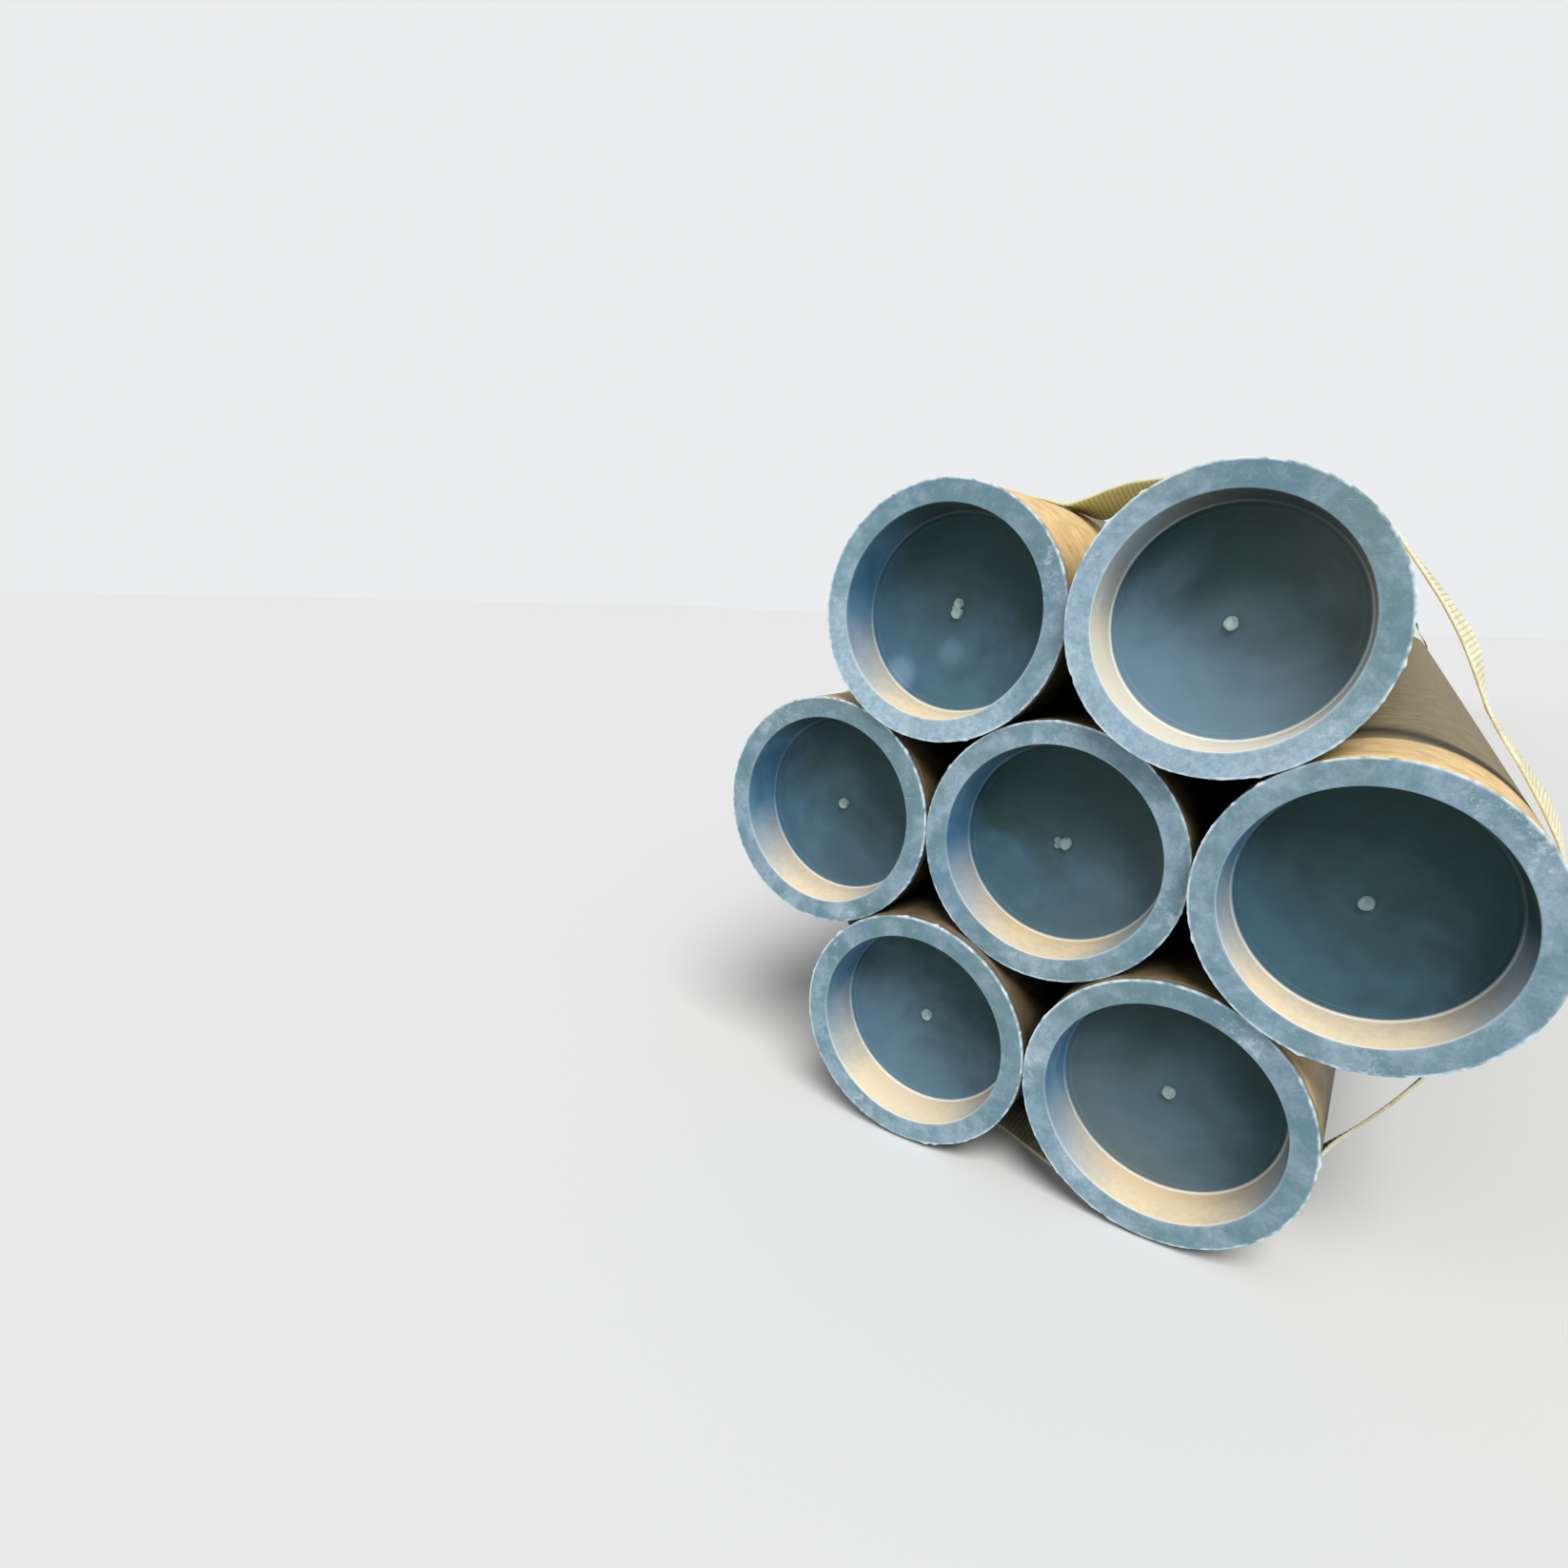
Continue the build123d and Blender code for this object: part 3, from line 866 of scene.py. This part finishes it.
def stitches(start, stop, base, facing):
    """The stitches of one seam, each as four rings of four points round its thread."""
    step = np.array([stop[0] - start[0], (stop[1] - start[1]) * SLING_WIDTH])
    run = math.hypot(*step)
    way = step / run
    side = (-way[1] * THREAD_RADIUS, way[0] * THREAD_RADIUS / SLING_WIDTH)
    rise = base + np.array([0.0, 1.0, 1.0, 0.0]) * STITCH_HEIGHT
    count = int(run / STITCH_PITCH)
    made = []
    for k in range(count):
        t = (k + np.array([0.12, 0.3, 0.7, 0.88])) / count
        along = start[0] + (stop[0] - start[0]) * t
        across = start[1] + (stop[1] - start[1]) * t
        loop = []
        for off, up in ((-1, 0), (0, 1), (1, 0), (0, -0.6)):
            height = rise + up * THREAD_RADIUS
            loop.append(sling_surface(along + side[0] * off, across + side[1] * off, height, facing))
        made.append(np.stack(loop, 1).reshape(-1, 3))
    return made


def make_sling(end, look):
    """One sling: the closed band, the sewn lap over it, the lap's stitches and a bar tack."""
    facing = FACING[end]
    node = f"sling_{end}"
    lap_thickness = SLING_THICKNESS - LAYER_GAP
    band_thickness = lap_thickness - PIPE_GAP
    points, faces, painted_rib_shade, painted_shade_tint, coordinates, columns = band(0, 0, PIPE_GAP, band_thickness, facing, True)
    thread = np.zeros(len(points))
    middle = SLING_LINE["stations"][LAP_ON] - (math.pi / 6 + LAP_TURN) * (PIPE_RADIUS + SLING_FIT)
    half_lap = LAP_LENGTH / 2
    lap = band(middle - half_lap, middle + half_lap, SLING_THICKNESS, lap_thickness, facing, False)
    offset = len(points)
    lap_rows = len(lap[0]) // columns
    points = np.vstack([points, lap[0]])
    faces += [tuple(offset + k for k in face) for face in lap[1]]
    faces.append([offset + k for k in range(columns)][:: -1 if facing > 0 else 1])
    faces.append([offset + (lap_rows - 1) * columns + k for k in range(columns)][:: 1 if facing > 0 else -1])
    painted_rib_shade = np.append(painted_rib_shade, lap[2])
    painted_shade_tint = np.append(painted_shade_tint, lap[3])
    coordinates = np.vstack([coordinates, lap[4]])
    thread = np.append(thread, np.zeros(len(lap[0])))
    for start, stop, base in seams(middle, SLING_THICKNESS + lap_thickness):
        for ring in stitches(start, stop, base, facing):
            offset = len(points)
            points = np.vstack([points, ring])
            faces += grid_faces(4, 4, offset, flip=facing < 0)
            faces.append((offset, offset + 1, offset + 2, offset + 3))
            faces.append((offset + 15, offset + 14, offset + 13, offset + 12))
            painted_rib_shade = np.append(painted_rib_shade, np.zeros(16))
            painted_shade_tint = np.append(painted_shade_tint, np.zeros(16))
            thread = np.append(thread, np.ones(16))
            coordinates = np.vstack([coordinates, np.zeros((16, 2))])
    fields = {"painted_rib_shade": painted_rib_shade, "painted_shade_tint": painted_shade_tint, "thread": thread}
    sling = mesh_object(f"woven_{node}", points, faces, look, fields)
    layer = sling.data.uv_layers.new(name="weave")
    corner_points = np.zeros(len(sling.data.loops), np.int32)
    sling.data.loops.foreach_get("vertex_index", corner_points)
    layer.data.foreach_set("uv", coordinates[corner_points].astype(np.float32).ravel())
    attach(sling, "root")
    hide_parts(node)


def make_stage():
    """Pale floor and soft plain light."""
    made, tree, shader = material("pale_floor")
    shader.inputs["Base Color"].default_value = linear(216, 216, 214)
    shader.inputs["Roughness"].default_value = 0.9
    shader.inputs["Specular IOR Level"].default_value = 0.2
    half = 40.0
    corners = np.array([[-half, -half, 0], [half, -half, 0], [half, half, 0], [-half, half, 0]])
    floor = mesh_object("floor", corners, [(0, 1, 2, 3)], made)

    scene = bpy.context.scene
    scene.view_settings.view_transform = "Standard"
    world = bpy.data.worlds.new("studio")
    world.use_nodes = True
    tree = world.node_tree
    lit = tree.nodes["Background"]
    lit.inputs["Color"].default_value = linear(236, 240, 244)
    lit.inputs["Strength"].default_value = 0.40
    seen = add(tree, "ShaderNodeBackground", {"Color": linear(236, 237, 238), "Strength": 1.0})
    camera_ray = add(tree, "ShaderNodeLightPath").outputs["Is Camera Ray"]
    both = add(tree, "ShaderNodeMixShader", {0: camera_ray, 1: lit.outputs[0], 2: seen.outputs[0]})
    tree.links.new(both.outputs[0], tree.nodes["World Output"].inputs["Surface"])
    scene.world = world

    for name, strength, spread, direction in (
        ("key", 3.2, 32, (-0.40, 0.47, -0.80)),
        ("fill", 0.7, 70, (0.5, 0.8, -0.25)),
    ):
        light = bpy.data.lights.new(name, "SUN")
        light.energy = strength
        light.angle = math.radians(spread)
        lamp = bpy.data.objects.new(name, light)
        lamp.rotation_euler = Vector(direction).to_track_quat("-Z", "Y").to_euler()
        scene.collection.objects.link(lamp)


def make_camera():
    """The photograph's camera, close to the front ends, as solved from the seven round flanges."""
    heading = math.radians(34.91)
    pitch = math.radians(-11.86)
    roll = math.radians(1.82)
    eye_in_radii = Vector((1.968, -6.221, 1.787))
    focal_px = 912.9
    photo_px = 1647
    sensor = 36.0
    # The plane that the camera was solved for lies this far behind the middle of the two top pipes' ends
    behind_top = 0.0015
    face_y = (PIPE_BOX["top_left"][0].y + PIPE_BOX["top_right"][0].y) / 2 + behind_top - FLANGE
    origin = Vector((AXIS_AT["centre"][0], face_y, AXIS_AT["centre"][1]))
    level_share = math.cos(pitch)
    forward = Vector((-math.sin(heading) * level_share, math.cos(heading) * level_share, math.sin(pitch)))
    level = Vector((math.cos(heading), math.sin(heading), 0))
    right = Matrix.Rotation(-roll, 3, forward) @ level
    up = right.cross(forward)
    data = bpy.data.cameras.new("camera")
    data.sensor_width = sensor
    data.lens = sensor * focal_px / photo_px
    data.clip_start = 0.02
    data.clip_end = 200
    camera = bpy.data.objects.new("camera", data)
    turn = Matrix((right, up, -forward)).transposed()
    camera.matrix_world = Matrix.Translation(origin + eye_in_radii * PIPE_RADIUS) @ turn.to_4x4()
    bpy.context.scene.collection.objects.link(camera)
    bpy.context.scene.camera = camera


plastic_look = plastic()
steel_look = steel()
webbing_look = webbing()
for place in PLACES:
    make_pipe(place, steel_look)
    for end in FACING:
        make_plug(place, end, plastic_look)
for end in FACING:
    make_sling(end, webbing_look)
make_stage()
make_camera()

bpy.context.view_layer.update()
